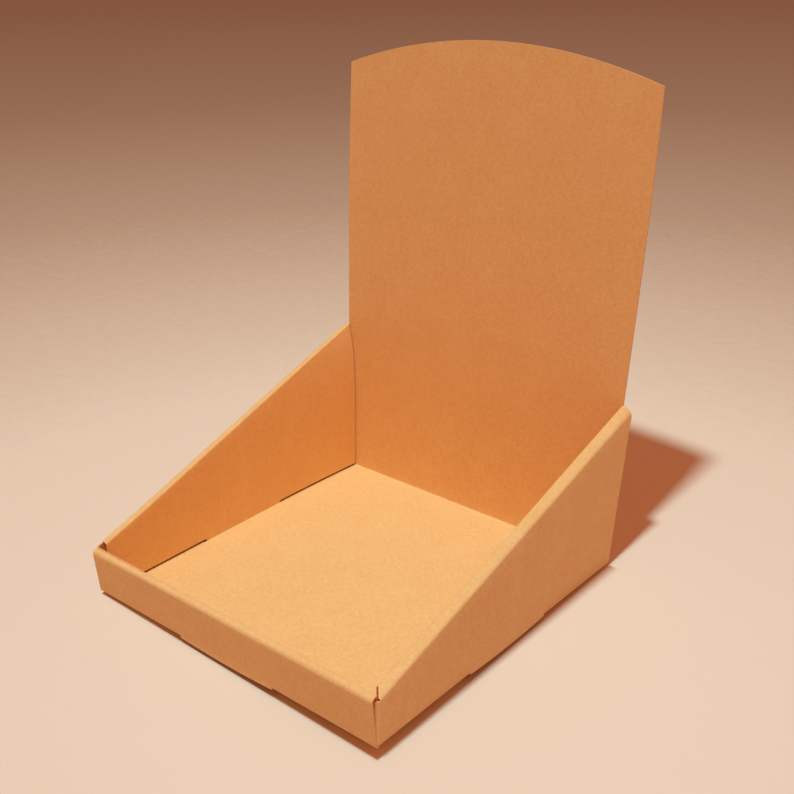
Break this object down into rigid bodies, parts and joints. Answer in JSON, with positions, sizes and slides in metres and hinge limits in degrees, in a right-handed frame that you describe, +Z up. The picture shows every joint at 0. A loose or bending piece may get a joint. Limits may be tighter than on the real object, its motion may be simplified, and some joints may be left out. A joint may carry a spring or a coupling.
{
  "type": "cardboard display stand",
  "caption": "One-piece folded card counter display: a shallow tray with a low front, double side walls rising to the back, and a tall back panel with a curved top.",
  "frame": {"origin": "middle of the stand's outline, on the surface it is put on", "axes": "+X to the right, +Y to the back panel, +Z up"},
  "size_m": [0.12, 0.1254, 0.1605],
  "materials": {
    "card": "uncoated, matte, fine fibre mottling"
  },
  "bodies": {
    "root": {"folded_card": "card"}
  },
  "joints": []
}
